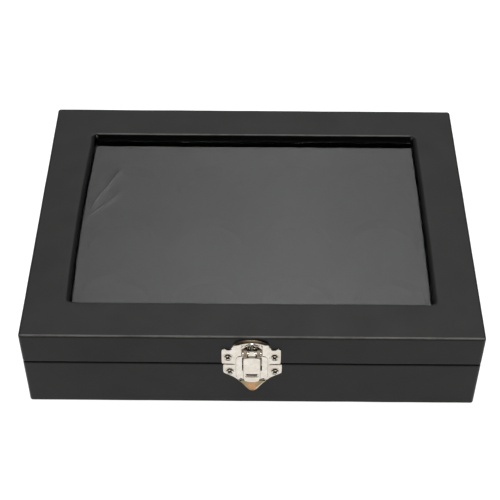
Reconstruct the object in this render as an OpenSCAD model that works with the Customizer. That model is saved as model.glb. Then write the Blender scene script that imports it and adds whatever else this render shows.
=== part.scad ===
// Coin display case: leatherette-covered boards, a glazed lid on two stop hinges, and a snap hasp.
// Millimetres. +Z is up and -Y is the front, where the hasp is.
// The origin is the centre of the bottom face.

/* [Case] */
// Width of the case, left to right
case_w = 200; // [196:1:230]
// Depth of the case, front to back
case_d = 152; // [148:1:180]
// Height of the closed case
case_h = 45; // [44.5:0.5:52]
// Height of the line where lid and base meet
seam_z = 27.8; // [27:0.2:29]
// Gap between the lid's rim and the base's rim
seam_gap = 0.4; // [0.2:0.1:0.5]

/* [Window] */
// Width of the lid's rim at the left and right of the window
rim_side = 19.6; // [17:0.2:24]
// Width of the lid's rim in front of and behind the window
rim_front = 19.8; // [17:0.2:24]
// Thickness of the pane
pane_t = 2; // [1.5:0.1:2.5]

/* [Boards] */
// Thickness of the wall boards
wall_t = 6; // [5:0.5:6.5]
// Thickness of the boards that frame the window
top_t = 2.8; // [2.4:0.1:3.4]
// Thickness of the floor board
floor_t = 3; // [2:0.5:4]
// Thickness of the leatherette
skin_t = 0.7; // [0.6:0.1:0.8]
// Thickness of the velvet-covered card that lines the walls
lining_t = 1.2; // [0.8:0.1:1.6]

/* [Coin tray] */
// Coin wells from left to right
well_cols = 4; // [2:1:4]
// Coin wells from front to back
well_rows = 3; // [2:1:3]
// Diameter of a well
well_d = 32.5; // [26:0.5:34]
// Depth of a well
well_depth = 6; // [4.5:0.5:8]
// Distance between wells, left to right
well_pitch_x = 42; // [41:1:44]
// Distance between wells, front to back
well_pitch_y = 38; // [36:1:39]

/* [Hinges] */
// Length of each hinge
hinge_w = 22; // [20:1:30]
// Distance between the middles of the two hinges
hinge_spacing = 112; // [80:2:140]
// Angle at which the hinges stop the lid
lid_stop = 105; // [95:5:110]

/* [Hasp] */
// Width of each hasp plate
hasp_w = 25.8; // [25:0.2:27]
// Thickness of the hasp's sheet metal
sheet_t = 0.6; // [0.5:0.1:0.6]
// How far the lid plate's wings sit to the left, and the base plate's ears to the right
hasp_skew = 0.3; // [0:0.1:0.4]

/* [Hidden] */
$fn = 64;
eps = 0.01;

// Colours
leatherette = "#2b2b2b";
board_brown = "#9a7b57";
velvet = "#141416";
foam = "#3a3a3d";
nickel = "#d9d4c8";

// Heights of the base, from the bottom up
sheet_paper_t = 0.5;
floor_z = sheet_paper_t + skin_t;
floor_top = floor_z + floor_t;
base_top = seam_z - seam_gap / 2;
base_wall_top = base_top - skin_t;
lining_drop = 0.6;
tray_top = base_top - 2.3;
backer_t = 1;
well_floor = tray_top - well_depth;
turn_in = 5;

// Heights of the lid, from the top down
rail_top = case_h - skin_t;
rail_z = rail_top - top_t;
pane_top = rail_z - skin_t;
pane_z = pane_top - pane_t;
film_t = 0.1;
bead_h = 5;
bead_w = 6;
bead_z = pane_z - bead_h;
lid_z = seam_z + seam_gap / 2;
lid_wall_z = lid_z + skin_t;
under_flange = 8;
bottom_flange = 12;

// Insets from the case's outside
wall_in = skin_t + wall_t;
lining_out = wall_in + skin_t;
lining_in = lining_out + lining_t;
insert_in = lining_in + 0.2;
front_y = -case_d / 2;
back_y = case_d / 2;

// Hinges: leaves as thick as the leatherette that they interrupt
leaf_t = skin_t;
leaf_d = 6.4;
barrel_r = 2;
barrel_core_r = 1.4;
hinge_bore_r = 0.8;
hinge_pin_r = 0.75;
axis_y = back_y + barrel_r + 0.3;
axis_z = seam_z;
knuckle_w = hinge_w / 3;
knuckle_gap = 0.2;
finger_gap = 0.1;
leaf_screw_x = 6.5;
leaf_screw_y = back_y - 3.6;
csk_r = 1.75;
hinge_shank_r = 0.85;
hinge_screw_len = 7;

// Hasp: heights up the front, and depths that stand out from the front face
boss_d = 1.6;
hood_d = 2.6;
pivot_z = 38.2;
pivot_d = 3.1;
pivot_bore_r = 0.65;
pivot_pin_r = 0.6;
hood_in_r = 3.95;
hood_out_r = 4.6;
hood_z = 39;
knuckle_r = 1.7;
lug_x = [4, 4.6];
arm_x = [1.8, 3.8];
nub_w = 3.2;
nub_r = 1.5;
bridge_d = [1.3, 1.9];
bridge_x = 7.05;
bridge_z = [18.3, 35.1];
ears_z = [21.4, 27.5];
lever_d = [3.4, 4];
lever_x = 3.8;
lever_z = [20, 36.5];
lever_toe_r = 2.4;
flange_d = 2.2;
slot_x = 2.9;
slot_z = [23.2, 25.6];
hook_x = 2.4;
hook_z = [23.9, 24.7];
lid_screw = [10.1, 32.5];
base_screw = [9.9, 23];
hasp_screw_r = 1.7;
hasp_shank_r = 0.9;
hasp_screw_len = 5;
hasp_hole_r = 1;

// ---------- shared shapes ----------

// A slab centred on the case, its sides at an inset from the case's outside
module slab(inset, z0, z1) {
    w = case_w - 2 * inset;
    d = case_d - 2 * inset;
    translate([-w / 2, -d / 2, z0]) cube([w, d, z1 - z0]);
}

// A rectangular ring between two insets
module ring(outer, inner, z0, z1) {
    difference() {
        slab(outer, z0, z1);
        slab(inner, z0 - 1, z1 + 1);
    }
}

// The window's shape, grown by a margin
module window_hole(grow, z0, z1) {
    w = case_w - 2 * rim_side + 2 * grow;
    d = case_d - 2 * rim_front + 2 * grow;
    translate([-w / 2, -d / 2, z0]) cube([w, d, z1 - z0]);
}

// A wall that runs the whole width: side is -1 for the front and 1 for the back
module long_wall(side, z0, z1) {
    w = case_w - 2 * skin_t;
    y = side < 0 ? front_y + skin_t : back_y - wall_in;
    color(board_brown) translate([-w / 2, y, z0]) cube([w, wall_t, z1 - z0]);
}

// A wall between the long walls: side is -1 for the left and 1 for the right
module short_wall(side, z0, z1) {
    d = case_d - 2 * wall_in;
    x = side < 0 ? -case_w / 2 + skin_t : case_w / 2 - wall_in;
    color(board_brown) translate([x, -d / 2, z0]) cube([wall_t, d, z1 - z0]);
}

// A sheet that stands on the front face, drawn in x and z, between two depths
module front_sheet(d0, d1) {
    translate([0, front_y - d0, 0]) rotate([90, 0, 0]) linear_extrude(d1 - d0) children();
}

// A rod along x, at a depth in front of the front face
module cross_rod(r, x0, x1, d, z) {
    translate([x0, front_y - d, z]) rotate([0, 90, 0]) cylinder(r = r, h = x1 - x0);
}

// A copy at each side of x = 0
module both_sides() {
    children();
    mirror([1, 0, 0]) children();
}

// A rod along x on the hinge axis
module hinge_rod(r, x0, x1) {
    translate([x0, axis_y, axis_z]) rotate([0, 90, 0]) cylinder(r = r, h = x1 - x0);
}

// Places its children at the left hinge (-1) or the right hinge (1)
module at_hinge(side) {
    translate([side * hinge_spacing / 2, 0, 0]) children();
}

// ---------- base ----------

module base_floor_board() {
    color(board_brown) slab(skin_t, floor_z, floor_top);
}

module bottom_sheet() {
    color(velvet) slab(3, 0, sheet_paper_t);
}

module base_cover() {
    color(leatherette) difference() {
        union() {
            ring(0, skin_t, sheet_paper_t, base_top);
            ring(0, bottom_flange, sheet_paper_t, floor_z);
            ring(0, lining_out, base_wall_top, base_top);
            ring(wall_in, lining_out, base_top - turn_in, base_top);
        }
        for (side = [-1, 1]) at_hinge(side) leaf_seat(base_wall_top - eps, base_top + eps);
        translate([hasp_skew, 0, 0]) screw_bores(base_screw);
    }
}

module base_lining() {
    color(velvet) ring(lining_out, lining_in, floor_top, base_top - lining_drop);
}

module foam_pad() {
    color(foam) slab(insert_in, floor_top, well_floor - backer_t);
}

module tray_backer() {
    color(velvet) slab(insert_in, well_floor - backer_t, well_floor);
}

// The insert that holds the coins: a round well for each, with a finger notch in front of it
module coin_tray() {
    notch_r = 5;
    notch_floor = well_floor + 1;
    color(velvet) difference() {
        slab(insert_in, well_floor, tray_top);
        for (col = [0:well_cols - 1], row = [0:well_rows - 1]) {
            x = (col - (well_cols - 1) / 2) * well_pitch_x;
            y = (row - (well_rows - 1) / 2) * well_pitch_y;
            translate([x, y, well_floor - 1]) cylinder(d = well_d, h = well_depth + 2);
            translate([x, y - well_d / 2 + 1, notch_floor]) cylinder(r = notch_r, h = well_depth);
        }
    }
}

// ---------- lid ----------

// One mitred board of the frame round the window, turned to its side
module rail(side) {
    ox = case_w / 2 - skin_t;
    oy = case_d / 2 - skin_t;
    ix = case_w / 2 - rim_side + skin_t;
    iy = case_d / 2 - rim_front + skin_t;
    outlines = [
        [[-ox, -oy], [ox, -oy], [ix, -iy], [-ix, -iy]],
        [[-ox, oy], [-ix, iy], [ix, iy], [ox, oy]],
        [[-ox, -oy], [-ix, -iy], [-ix, iy], [-ox, oy]],
        [[ox, -oy], [ox, oy], [ix, iy], [ix, -iy]]
    ];
    color(board_brown) translate([0, 0, rail_z]) linear_extrude(top_t) polygon(outlines[side]);
}

module lid_cover() {
    color(leatherette) difference() {
        union() {
            ring(0, skin_t, lid_z, case_h);
            ring(0, lining_out, lid_z, lid_wall_z);
            ring(wall_in, lining_out, lid_z, lid_z + turn_in);
            difference() {
                union() {
                    slab(0, rail_top, case_h);
                    window_hole(skin_t, rail_z - eps, rail_top + eps);
                    window_hole(under_flange, pane_top, rail_z);
                }
                window_hole(0, pane_top - 1, case_h + 1);
            }
        }
        for (side = [-1, 1]) at_hinge(side) leaf_seat(lid_z - eps, lid_wall_z + eps);
        translate([-hasp_skew, 0, 0]) screw_bores(lid_screw);
    }
}

module window_pane() {
    color("lightgrey", 0.4) slab(wall_in + 0.2, pane_z, pane_top);
}

module pane_film() {
    color("white", 0.3) window_hole(-0.2, pane_top, pane_top + film_t);
}

// Strips under the pane that hold it up against the rails: long ones, then short ones between them
module long_bead(side) {
    w = case_w - 2 * wall_in;
    y = side < 0 ? front_y + wall_in : back_y - wall_in - bead_w;
    color(velvet) translate([-w / 2, y, bead_z]) cube([w, bead_w, bead_h]);
}

module short_bead(side) {
    d = case_d - 2 * (wall_in + bead_w);
    x = side < 0 ? -case_w / 2 + wall_in : case_w / 2 - wall_in - bead_w;
    color(velvet) translate([x, -d / 2, bead_z]) cube([bead_w, d, bead_h]);
}

module lid_lining() {
    color(velvet) ring(lining_out, lining_in, lid_z + lining_drop, bead_z);
}

// ---------- hinges ----------

// The room that a leaf takes in the leatherette of a rim
module leaf_seat(z0, z1) {
    translate([-hinge_w / 2, back_y - leaf_d, z0]) cube([hinge_w, leaf_d + 1, z1 - z0]);
}

module leaf_plate(z0) {
    translate([-hinge_w / 2, back_y - leaf_d, z0]) cube([hinge_w, leaf_d, leaf_t]);
}

// The strip from a leaf's plate to its knuckle, between two places in x
module leaf_neck(x0, x1, z0) {
    translate([x0, back_y - eps, z0]) cube([x1 - x0, axis_y - back_y, leaf_t]);
}

module leaf_screw_holes(z0, up) {
    for (x = [-leaf_screw_x, leaf_screw_x]) translate([x, leaf_screw_y, z0]) {
        narrow = hinge_shank_r + 0.05;
        wide = csk_r + 0.03;
        cylinder(r1 = up ? wide : narrow, r2 = up ? narrow : wide, h = leaf_t);
    }
}

// The base leaf: two outer knuckles, and a short finger between them that stops the lid
module base_leaf() {
    half = hinge_w / 2;
    inner = knuckle_w / 2 + knuckle_gap / 2;
    color(nickel) difference() {
        union() {
            leaf_plate(base_wall_top);
            both_sides() leaf_neck(inner, half, base_wall_top);
            both_sides() hinge_rod(barrel_r, inner, half);
            translate([-inner + knuckle_gap, back_y - eps, base_wall_top])
                cube([knuckle_w - knuckle_gap, barrel_r + 0.3 - barrel_core_r - finger_gap + eps, leaf_t]);
        }
        hinge_rod(hinge_bore_r, -half - 1, half + 1);
        leaf_screw_holes(base_wall_top, false);
    }
}

// The lid leaf: one middle knuckle, cut back where the base leaf's finger passes as the lid opens.
// The end of the cut meets the finger at the lid's stop.
module lid_leaf() {
    half = (knuckle_w - knuckle_gap) / 2;
    reach = barrel_r + 0.3;
    finger_low = atan2(axis_z - base_wall_top, barrel_core_r + finger_gap);
    start = 184;
    stop = 180 + finger_low + lid_stop + 1;
    cut = [for (i = [0:6]) start + (stop - start) * i / 6];
    color(nickel) difference() {
        union() {
            leaf_plate(lid_z);
            leaf_neck(-half, half, lid_z);
            hinge_rod(barrel_r, -half, half);
        }
        translate([-half - 1, axis_y, axis_z]) rotate([90, 0, 90]) linear_extrude(2 * half + 2)
            difference() {
                polygon(concat([[0, 0]], [for (a = cut) 1.5 * reach * [cos(a), sin(a)]]));
                circle(r = barrel_core_r);
            }
        hinge_rod(hinge_bore_r, -half - 1, half + 1);
        leaf_screw_holes(lid_z, true);
    }
}

module hinge_pin() {
    color(nickel) hinge_rod(hinge_pin_r, -hinge_w / 2, hinge_w / 2);
}

// A countersunk screw that points along +Z, its flat head at z = 0
module hinge_screw() {
    slot_w = 0.5;
    difference() {
        union() {
            cylinder(r1 = csk_r, r2 = hinge_shank_r, h = leaf_t);
            cylinder(r = hinge_shank_r, h = hinge_screw_len);
        }
        for (a = [0, 90]) rotate([0, 0, a]) translate([-csk_r * 0.65, -slot_w / 2, -eps])
            cube([csk_r * 1.3, slot_w, 0.4]);
    }
}

module leaf_screws(z, up) {
    color(nickel) for (side = [-1, 1], x = [-leaf_screw_x, leaf_screw_x])
        at_hinge(side) translate([x, leaf_screw_y, z]) rotate([up ? 0 : 180, 0, 0]) hinge_screw();
}

// ---------- hasp ----------

// Bores for a pair of front screws, through the leatherette
module screw_bores(at) {
    for (x = [-at[0], at[0]]) translate([x, front_y - 2, at[1]]) rotate([-90, 0, 0])
        cylinder(r = hasp_hole_r, h = 2 + skin_t + eps);
}

// Pan-head screws at a pair of places on the front, with crossed slots
module front_screws(at, skew) {
    slot_w = 0.55;
    slot_len = 2.2;
    color(nickel) for (x = [-at[0], at[0]]) translate([x + skew, front_y - sheet_t, at[1]]) rotate([90, 0, 0])
        difference() {
            union() {
                cylinder(r1 = hasp_screw_r, r2 = hasp_screw_r * 0.75, h = 0.7);
                translate([0, 0, -hasp_screw_len]) cylinder(r = hasp_shank_r, h = hasp_screw_len);
            }
            for (a = [25, 115]) rotate([0, 0, a]) translate([-slot_len / 2, -slot_w / 2, 0.3])
                cube([slot_len, slot_w, 1]);
        }
}

// The crown of the lid plate, as an arc about a low centre
crown_half = 7.2;
crown_top = 44;
crown_rise = 2.3;
crown_r = (pow(crown_half, 2) + pow(crown_rise, 2)) / (2 * crown_rise);

function crown_arc(half, r, steps) = [
    for (i = [0:steps]) let (a = asin(half / r) * (1 - 2 * i / steps))
        [r * sin(a), crown_top - crown_r + r * cos(a)]
];

module lid_plate_outline() {
    h = hasp_w / 2;
    right = [[h - 0.7, lid_z], [h, lid_z + 0.7], [h, 37.7], [h - 0.6, 38.6], [h - 1.6, 38.7],
        [9.8, 38.2], [8.8, 38.9], [8, 40.2]];
    left = [for (i = [len(right) - 1:-1:0]) [-right[i][0], right[i][1]]];
    polygon(concat(right, crown_arc(crown_half, crown_r, 12), left));
}

// The raised middle of the lid plate, drawn smaller by an inset
module boss_outline(inset) {
    r = crown_r - inset;
    half = crown_half - inset;
    low = bridge_z[1] + 0.3;
    polygon(concat([[-half, low + inset / 2], [half, low + inset / 2]], crown_arc(half, r, 12)));
}

// The arch over the knuckles, with straight legs
module hood_outline() {
    leg = hood_z - pivot_z + 1;
    difference() {
        union() {
            translate([0, hood_z]) circle(r = hood_out_r);
            translate([-hood_out_r, hood_z - leg]) square([2 * hood_out_r, leg]);
        }
        translate([0, hood_z]) circle(r = hood_in_r);
        translate([-hood_in_r, hood_z - 2 * hood_out_r]) square([2 * hood_in_r, 2 * hood_out_r]);
        translate([-2 * hood_out_r, hood_z - leg - 2 * hood_out_r])
            square([4 * hood_out_r, 2 * hood_out_r]);
        for (x = [-0.75, 0.75]) translate([x, hood_z + (hood_in_r + hood_out_r) / 2]) circle(r = 0.16);
    }
}

// The tongue that holds the pin between the lever's knuckles: narrow at the top, wide below
module nub_outline() {
    top = pivot_z + nub_r;
    low = pivot_z - nub_r;
    polygon([[-nub_w / 2, low], [nub_w / 2, low], [nub_w / 2, low + 0.8], [0.9, top], [-0.9, top],
        [-nub_w / 2, low + 0.8]]);
}

module hasp_lid_plate() {
    cavity = boss_d - sheet_t;
    lug_h = 3.4;
    slot_low = pivot_z - knuckle_r - 0.5;
    slot_h = 2 * knuckle_r + 0.8;
    notch_x = lever_x + 0.4;
    notch_top = bridge_z[1] - 0.6;
    color(nickel) difference() {
        union() {
            translate([-hasp_skew, 0, 0]) front_sheet(0, sheet_t) lid_plate_outline();
            front_sheet(0, 1.1) boss_outline(0.2);
            front_sheet(1.1 - eps, boss_d) boss_outline(0.7);
            front_sheet(boss_d - eps, hood_d) hood_outline();
            both_sides() front_sheet(boss_d - eps, pivot_d + 1.1)
                translate([lug_x[0], pivot_z - lug_h / 2]) square([lug_x[1] - lug_x[0], lug_h]);
            intersection() {
                union() {
                    cross_rod(nub_r, -nub_w / 2, nub_w / 2, pivot_d, pivot_z);
                    front_sheet(boss_d - eps, pivot_d)
                        translate([-nub_w / 2, pivot_z]) square([nub_w, nub_r]);
                }
                front_sheet(0, pivot_d + 2) nub_outline();
            }
        }
        difference() {
            front_sheet(-eps, cavity) boss_outline(0.7 + sheet_t);
            front_sheet(-1, cavity + 1)
                translate([-nub_w / 2, pivot_z - knuckle_r]) square([nub_w, 2 * knuckle_r]);
        }
        both_sides() front_sheet(cavity - 0.2, hood_d + 2)
            translate([nub_w / 2, slot_low]) square([lug_x[0] - nub_w / 2, slot_h]);
        front_sheet(-eps, boss_d + eps)
            translate([-notch_x, seam_z]) square([2 * notch_x, notch_top - seam_z]);
        cross_rod(pivot_pin_r + 0.02, -6, 6, pivot_d, pivot_z);
        for (x = [-lid_screw[0], lid_screw[0]]) translate([x - hasp_skew, front_y + 1, lid_screw[1]])
            rotate([90, 0, 0]) cylinder(r = hasp_hole_r, h = 3);
    }
}

module base_plate_outline() {
    h = hasp_w / 2;
    right = [[h - 0.5, ears_z[1]], [h, ears_z[1] - 0.5], [h, ears_z[0] + 0.6], [h - 0.7, ears_z[0]],
        [8.8, 19.3], [7.2, 17.7], [5.7, 15.9], [4.1, 13.6], [2.9, 11.7], [2, 10.5], [1.1, 9.7], [0.4, 9.4]];
    left = [for (i = [len(right) - 1:-1:0]) [-right[i][0], right[i][1]]];
    polygon(concat(right, left));
}

module bridge_outline() {
    r = 1.8;
    low = bridge_z[0];
    union() {
        translate([-bridge_x, low]) square([2 * bridge_x, bridge_z[1] - r - low]);
        translate([-bridge_x + r, low]) square([2 * (bridge_x - r), bridge_z[1] - low]);
        for (x = [-1, 1]) translate([x * (bridge_x - r), bridge_z[1] - r]) circle(r = r);
    }
}

// The base plate: two ears, a pointed toe, and a raised bridge over the lid plate with the hook on it.
// Behind the lever the bridge is cut away above the hook.
module hasp_base_plate() {
    wall_x = bridge_x - sheet_t;
    cut_x = lever_x + 0.4;
    cut_z = [hook_z[1] + 0.9, bridge_z[1] - 1.5];
    hook_out = lever_d[1] + 0.3;
    hook_h = hook_z[1] - hook_z[0];
    color(nickel) difference() {
        union() {
            difference() {
                translate([hasp_skew, 0, 0]) front_sheet(0, sheet_t) base_plate_outline();
                front_sheet(-1, sheet_t + 1)
                    translate([-wall_x, bridge_z[0]]) square([2 * wall_x, ears_z[1] - bridge_z[0] + 1]);
            }
            front_sheet(bridge_d[0], bridge_d[1]) bridge_outline();
            both_sides() front_sheet(0, bridge_d[0] + eps)
                translate([wall_x, bridge_z[0] + 1]) square([sheet_t, ears_z[1] - bridge_z[0] - 1]);
            front_sheet(bridge_d[1] - eps, hook_out)
                translate([-hook_x, hook_z[0]]) square([2 * hook_x, hook_h]);
            front_sheet(lever_d[1] + 0.1, hook_out + 0.2)
                translate([-hook_x, hook_z[0]]) square([2 * hook_x, hook_h + 0.4]);
        }
        front_sheet(bridge_d[0] - 0.2, bridge_d[1] + 0.2)
            translate([-cut_x, cut_z[0]]) square([2 * cut_x, cut_z[1] - cut_z[0]]);
        for (x = [-base_screw[0], base_screw[0]]) translate([x + hasp_skew, front_y + 1, base_screw[1]])
            rotate([90, 0, 0]) cylinder(r = hasp_hole_r, h = 3);
    }
}

module lever_outline() {
    bend_z = lever_z[0] + lever_toe_r;
    inner_x = lever_x - lever_toe_r;
    translate([-lever_x, bend_z]) square([2 * lever_x, lever_z[1] - bend_z]);
    translate([-inner_x, lever_z[0]]) square([2 * inner_x, lever_toe_r + eps]);
    for (x = [-inner_x, inner_x]) translate([x, bend_z]) circle(r = lever_toe_r);
    for (x = [-arm_x[1], arm_x[0]])
        translate([x, lever_z[1] - eps]) square([arm_x[1] - arm_x[0], pivot_z - lever_z[1]]);
}

module lip_outline() {
    intersection() {
        lever_outline();
        translate([-lever_x, lever_z[0] - 1]) square([2 * lever_x, 2.4]);
    }
}

// The lever: a channel that hangs from the pin and snaps over the hook, with a lip to lift it by
module hasp_lever() {
    flange_x = lever_x - sheet_t;
    color(nickel) difference() {
        union() {
            front_sheet(lever_d[0], lever_d[1]) lever_outline();
            both_sides() front_sheet(flange_d, lever_d[0] + eps)
                translate([flange_x, slot_z[0] - 1]) square([sheet_t, pivot_z - slot_z[0] + 0.3]);
            both_sides() cross_rod(knuckle_r, arm_x[0], arm_x[1], pivot_d, pivot_z);
            front_sheet(lever_d[1] - eps, lever_d[1] + 0.5) lip_outline();
        }
        front_sheet(flange_d, lever_d[1] + 1)
            translate([-slot_x, slot_z[0]]) square([2 * slot_x, slot_z[1] - slot_z[0]]);
        cross_rod(pivot_bore_r, -6, 6, pivot_d, pivot_z);
    }
}

module hasp_pin() {
    color(nickel) cross_rod(pivot_pin_r, -lug_x[1], lug_x[1], pivot_d, pivot_z);
}

// ---------- nodes ----------

base_floor_board();
long_wall(-1, floor_top, base_wall_top);  // base_front_wall
long_wall(1, floor_top, base_wall_top);  // base_back_wall
short_wall(-1, floor_top, base_wall_top);  // base_left_wall
short_wall(1, floor_top, base_wall_top);  // base_right_wall
base_cover();
bottom_sheet();
base_lining();
foam_pad();
tray_backer();
coin_tray();
long_wall(-1, lid_wall_z, rail_z);  // lid_front_wall
long_wall(1, lid_wall_z, rail_z);  // lid_back_wall
short_wall(-1, lid_wall_z, rail_z);  // lid_left_wall
short_wall(1, lid_wall_z, rail_z);  // lid_right_wall
rail(0);  // lid_front_rail
rail(1);  // lid_back_rail
rail(2);  // lid_left_rail
rail(3);  // lid_right_rail
lid_cover();
window_pane();
pane_film();
long_bead(-1);  // bead_front
long_bead(1);  // bead_back
short_bead(-1);  // bead_left
short_bead(1);  // bead_right
lid_lining();
at_hinge(-1) base_leaf();  // left_hinge_base_leaf
at_hinge(-1) lid_leaf();  // left_hinge_lid_leaf
at_hinge(-1) hinge_pin();  // left_hinge_pin
at_hinge(1) base_leaf();  // right_hinge_base_leaf
at_hinge(1) lid_leaf();  // right_hinge_lid_leaf
at_hinge(1) hinge_pin();  // right_hinge_pin
leaf_screws(base_top, false);  // hinge_base_screws
leaf_screws(lid_z, true);  // hinge_lid_screws
hasp_base_plate();
hasp_lid_plate();
hasp_lever();
hasp_pin();
front_screws(base_screw, hasp_skew);  // hasp_base_screws
front_screws(lid_screw, -hasp_skew);  // hasp_lid_screws
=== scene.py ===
import math

import bmesh
import bpy
import numpy as np
from mathutils import Matrix, Vector, noise


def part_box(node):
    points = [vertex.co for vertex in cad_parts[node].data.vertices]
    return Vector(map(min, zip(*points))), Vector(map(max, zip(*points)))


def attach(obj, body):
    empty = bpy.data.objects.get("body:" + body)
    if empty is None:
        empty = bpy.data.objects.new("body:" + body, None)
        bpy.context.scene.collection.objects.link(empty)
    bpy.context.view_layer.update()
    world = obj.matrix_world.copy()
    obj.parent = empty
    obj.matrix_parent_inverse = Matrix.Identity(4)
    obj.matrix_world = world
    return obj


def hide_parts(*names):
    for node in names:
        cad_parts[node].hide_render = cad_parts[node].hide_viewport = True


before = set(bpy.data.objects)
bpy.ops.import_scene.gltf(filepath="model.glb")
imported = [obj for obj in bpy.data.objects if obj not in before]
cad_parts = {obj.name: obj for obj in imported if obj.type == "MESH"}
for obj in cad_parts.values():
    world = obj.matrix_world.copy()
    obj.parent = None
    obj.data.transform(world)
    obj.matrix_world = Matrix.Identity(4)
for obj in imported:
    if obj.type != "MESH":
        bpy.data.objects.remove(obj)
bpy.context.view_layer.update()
scene = bpy.context.scene
MM = 0.001


# ---------- places and sizes, in millimetres, from the frame ----------

def box_mm(node):
    """The lowest and highest corner of a CAD node, in millimetres."""
    low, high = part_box(node)
    return low / MM, high / MM


LID = box_mm("lid_cover")
BASE = box_mm("base_cover")
FILM = box_mm("pane_film")
PANE = box_mm("window_pane")
WALL = box_mm("lid_front_wall")
RAIL = box_mm("lid_front_rail")
LID_PLATE = box_mm("hasp_lid_plate")
BASE_PLATE = box_mm("hasp_base_plate")
LEVER = box_mm("hasp_lever")
PIN = box_mm("hasp_pin")
LID_SCREWS = box_mm("hasp_lid_screws")
BASE_SCREWS = box_mm("hasp_base_screws")

HALF_X = LID[1].x
HALF_Y = LID[1].y
LID_Z = LID[0].z
TOP_Z = LID[1].z
RIM_Z = BASE[1].z
BOTTOM_Z = BASE[0].z
SKIN = WALL[0].z - LID_Z
WALL_IN = WALL[1].y - WALL[0].y + SKIN
WINDOW_X = FILM[1].x + 0.2
WINDOW_Y = FILM[1].y + 0.2
TURN_IN = 5.0

# the hasp: its pin, its screws' heads, the arc over its lid plate, and the height where its toe begins
PIVOT_Z = (PIN[0].z + PIN[1].z) / 2
PIVOT_D = -HALF_Y - (PIN[0].y + PIN[1].y) / 2
HEAD = (LID_SCREWS[1].z - LID_SCREWS[0].z) / 2
SLOT_TURN = math.radians(37.7)
CROWN_HALF = 7.2
CROWN_RISE = 2.3
CROWN_R = (CROWN_HALF ** 2 + CROWN_RISE ** 2) / (2 * CROWN_RISE)
CROWN_Z = LID_PLATE[1].z - CROWN_R
TOE_Z = BASE_PLATE[0].z + 8.6


def screw_places(box):
    """The middles of a pair of screws, in x and z."""
    return [(x, (box[0].z + box[1].z) / 2) for x in (box[0].x + HEAD, box[1].x - HEAD)]


# ---------- materials ----------

class Nodes:
    """A material's node tree, with short ways to add and join nodes."""

    def __init__(self, name):
        self.material = bpy.data.materials.new(name)
        self.material.use_nodes = True
        self.tree = self.material.node_tree
        self.shader = self.tree.nodes["Principled BSDF"]
        self.where = self.place()

    def add(self, kind, **values):
        node = self.tree.nodes.new(kind)
        for key, value in values.items():
            setattr(node, key, value)
        return node

    def join(self, output, target):
        self.tree.links.new(output, target)

    def place(self):
        """Object coordinates in millimetres."""
        where = self.add("ShaderNodeTexCoord")
        scale = self.add("ShaderNodeVectorMath", operation="SCALE")
        scale.inputs["Scale"].default_value = 1 / MM
        self.join(where.outputs["Object"], scale.inputs[0])
        return scale.outputs[0]

    def noise(self, size, detail=3.0, roughness=0.5):
        """Smooth noise whose features are about size millimetres across."""
        node = self.add("ShaderNodeTexNoise")
        node.inputs["Scale"].default_value = 1 / size
        node.inputs["Detail"].default_value = detail
        node.inputs["Roughness"].default_value = roughness
        self.join(self.where, node.inputs["Vector"])
        return node.outputs["Fac"]

    def cells(self, size, feature="F1"):
        node = self.add("ShaderNodeTexVoronoi", feature=feature)
        node.inputs["Scale"].default_value = 1 / size
        self.join(self.where, node.inputs["Vector"])
        return node.outputs["Distance"]

    def ramp(self, value, low, high, to_low, to_high):
        """value mapped from low..high to to_low..to_high."""
        node = self.add("ShaderNodeMapRange")
        node.inputs["From Min"].default_value = low
        node.inputs["From Max"].default_value = high
        node.inputs["To Min"].default_value = to_low
        node.inputs["To Max"].default_value = to_high
        self.join(value, node.inputs["Value"])
        return node.outputs["Result"]

    def blend(self, factor, first, second):
        """The colour first where factor is 0 and second where it is 1."""
        node = self.add("ShaderNodeMix", data_type="RGBA")
        self.join(factor, node.inputs["Factor"])
        for value, target in ((first, node.inputs["A"]), (second, node.inputs["B"])):
            if isinstance(value, bpy.types.NodeSocket):
                self.join(value, target)
            else:
                target.default_value = (*value, 1)
        return node.outputs["Result"]

    def bump(self, height, depth, strength=1.0, under=None):
        """A bump of depth millimetres, laid over an earlier one."""
        node = self.add("ShaderNodeBump")
        node.inputs["Distance"].default_value = depth * MM
        node.inputs["Strength"].default_value = strength
        self.join(height, node.inputs["Height"])
        if under is not None:
            self.join(under, node.inputs["Normal"])
        return node.outputs["Normal"]

    def math(self, operation, *values):
        node = self.add("ShaderNodeMath", operation=operation)
        for socket, value in zip(node.inputs, values):
            if isinstance(value, bpy.types.NodeSocket):
                self.join(value, socket)
            else:
                socket.default_value = value
        return node.outputs[0]

    def axes(self):
        """The place's x, y and z, in millimetres."""
        split = self.add("ShaderNodeSeparateXYZ")
        self.join(self.where, split.inputs[0])
        return split.outputs["X"], split.outputs["Y"], split.outputs["Z"]

    def length(self, u, v):
        return self.math("SQRT", self.math("ADD", self.math("MULTIPLY", u, u), self.math("MULTIPLY", v, v)))

    def fold_highlight_mask(self):
        """Painted highlight mask: 1 on the lid's front fold and the fold behind the window, broken up a
        little, and 0 elsewhere.
        """
        x, y, z = self.axes()
        high = self.ramp(z, TOP_Z - 0.45, TOP_Z - 0.3, 0, 1)
        front = self.ramp(y, 1.15 - HALF_Y, 0.95 - HALF_Y, 0, 1)
        off_fold = self.math("ABSOLUTE", self.math("SUBTRACT", y, WINDOW_Y + 0.4))
        within = self.ramp(self.math("ABSOLUTE", x), WINDOW_X - 3, WINDOW_X - 1.5, 1, 0)
        behind = self.math("MULTIPLY", self.ramp(off_fold, 0.35, 0.5, 1, 0), within)
        # noise that breaks up the painted highlight along the folds
        highlight_breakup = self.ramp(self.noise(7, 5), 0.3, 0.6, 0.5, 1)
        edges = self.math("MULTIPLY", self.math("MAXIMUM", front, behind), high)
        return self.math("MULTIPLY", edges, highlight_breakup)


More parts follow.
